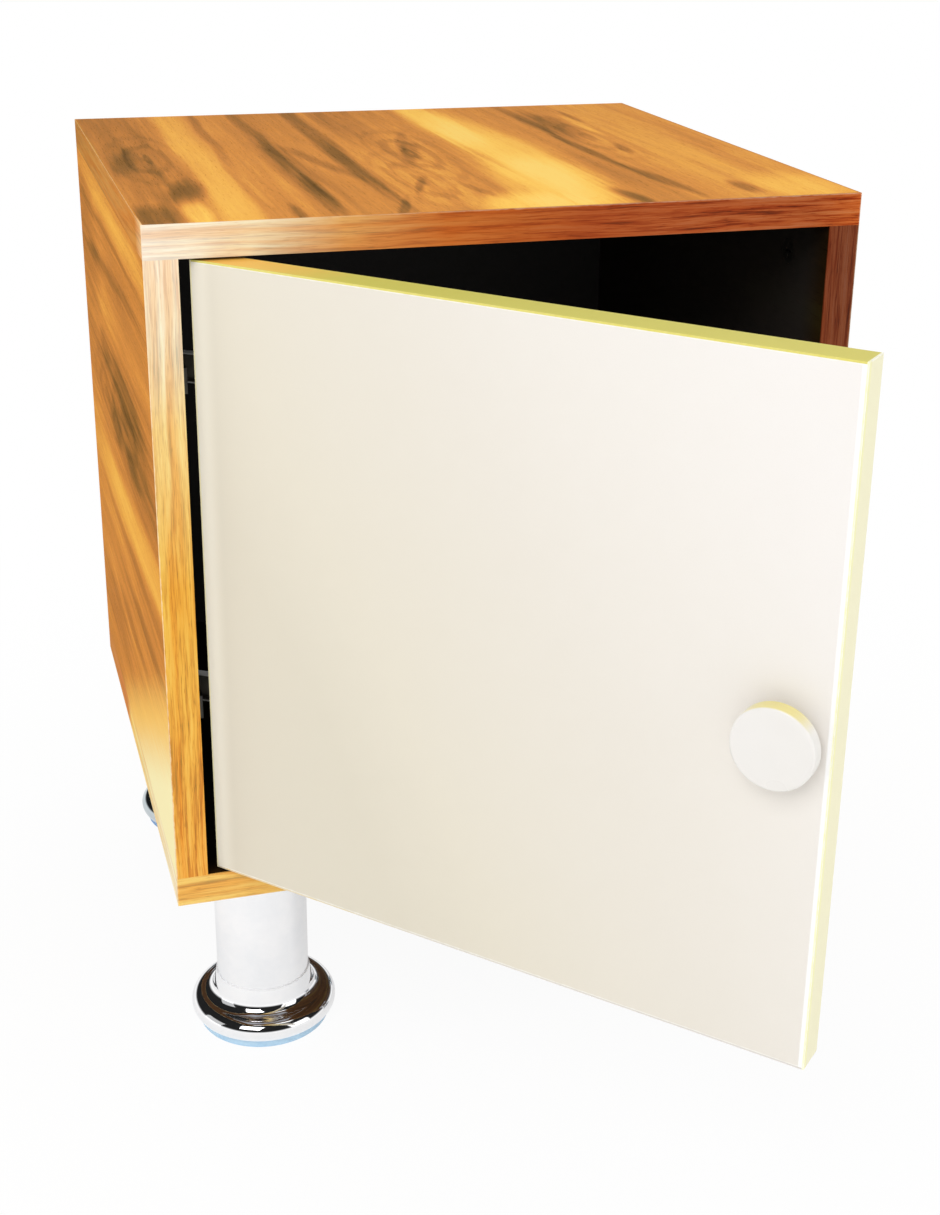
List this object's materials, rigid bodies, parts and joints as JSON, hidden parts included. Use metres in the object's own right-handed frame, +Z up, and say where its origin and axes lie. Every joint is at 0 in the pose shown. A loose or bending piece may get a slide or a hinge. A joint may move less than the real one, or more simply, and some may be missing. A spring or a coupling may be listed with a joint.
{
  "type": "storage side table with door",
  "caption": "Storage side table: a walnut-look board case on round chrome legs with flared feet, closed by an inset cream door with a round knob on concealed cup hinges.",
  "frame": {"origin": "on the floor, below the middle of the table's outer box with the door half open (rest pose)", "axes": "+Z up, +X to the right seen from the front, +Y from the front towards the back"},
  "size_m": [0.4, 0.64, 0.516],
  "materials": {
    "walnut_laminate": "satin walnut-look laminate",
    "walnut_edge": "satin walnut-look edge band",
    "cream_laminate": "smooth cream laminate",
    "cream_edge": "smooth cream edge band",
    "cream_lacquer": "cream lacquer",
    "hardboard": "thin brown board",
    "beech": "bare beech",
    "zinc": "cast zinc, dull",
    "screw_steel": "zinc-plated steel",
    "leg_chrome": "mirror chrome",
    "plate_steel": "zinc-plated steel",
    "glide_plastic": "pale blue plastic",
    "hinge_nickel": "nickel-plated steel"
  },
  "bodies": {
    "cabinet": {"back_panel": "hardboard", "bottom_panel": "walnut_laminate", "bottom_panel_front_band": "walnut_edge", "bottom_panel_left_band": "walnut_edge", "bottom_panel_right_band": "walnut_edge", "cam_bolts": "screw_steel", "cam_locks": "zinc", "corner_dowels": "beech", "front_left_leg_foot": "leg_chrome", "front_left_leg_glide": "glide_plastic", "front_left_leg_plate": "plate_steel", "front_left_leg_tube": "leg_chrome", "front_right_leg_foot": "leg_chrome", "front_right_leg_glide": "glide_plastic", "front_right_leg_plate": "plate_steel", "front_right_leg_tube": "leg_chrome", "hinge_adjusting_screws": "screw_steel", "hinge_arm_pins": "hinge_nickel", "hinge_plate_screws": "screw_steel", "left_side_front_band": "walnut_edge", "left_side_panel": "walnut_laminate", "leg_grub_screws": "screw_steel", "leg_plate_screws": "screw_steel", "lower_hinge_arm": "hinge_nickel", "lower_hinge_plate": "hinge_nickel", "rear_left_leg_foot": "leg_chrome", "rear_left_leg_glide": "glide_plastic", "rear_left_leg_plate": "plate_steel", "rear_left_leg_tube": "leg_chrome", "rear_right_leg_foot": "leg_chrome", "rear_right_leg_glide": "glide_plastic", "rear_right_leg_plate": "plate_steel", "rear_right_leg_tube": "leg_chrome", "right_side_front_band": "walnut_edge", "right_side_panel": "walnut_laminate", "top_panel": "walnut_laminate", "top_panel_front_band": "walnut_edge", "top_panel_left_band": "walnut_edge", "top_panel_right_band": "walnut_edge", "upper_hinge_arm": "hinge_nickel", "upper_hinge_plate": "hinge_nickel"},
    "outer_links": {"lower_outer_link": "hinge_nickel", "upper_outer_link": "hinge_nickel"},
    "inner_links": {"lower_inner_link": "hinge_nickel", "upper_inner_link": "hinge_nickel"},
    "door": {"door_bottom_band": "cream_edge", "door_handle_side_band": "cream_edge", "door_hinge_side_band": "cream_edge", "door_knob": "cream_lacquer", "door_panel": "cream_laminate", "door_top_band": "cream_edge", "hinge_cup_pins": "hinge_nickel", "hinge_cup_screws": "screw_steel", "knob_screw": "screw_steel", "lower_hinge_cup": "hinge_nickel", "upper_hinge_cup": "hinge_nickel"}
  },
  "joints": [
    {"name": "outer_link_turn", "type": "hinge", "parent": "cabinet", "child": "outer_links", "pos_m": [-0.15217, -0.0327, 0.327], "axis": [0, 0, 1], "range_deg": [-40.9, 41.8]},
    {"name": "door_swing", "type": "hinge", "parent": "outer_links", "child": "door", "pos_m": [-0.15745, -0.05029, 0.327], "axis": [0, 0, -1], "range_deg": [-87.8, 89.66]},
    {"name": "inner_link_turn", "type": "hinge", "parent": "cabinet", "child": "inner_links", "pos_m": [-0.14674, -0.0109, 0.327], "axis": [0, 0, 1], "range_deg": [-24.8, 25.4]}
  ],
  "couplings": [
    {"joint": "outer_link_turn", "follows": "door_swing", "ratio": 0.46467},
    {"joint": "inner_link_turn", "follows": "door_swing", "ratio": 0.28158}
  ]
}
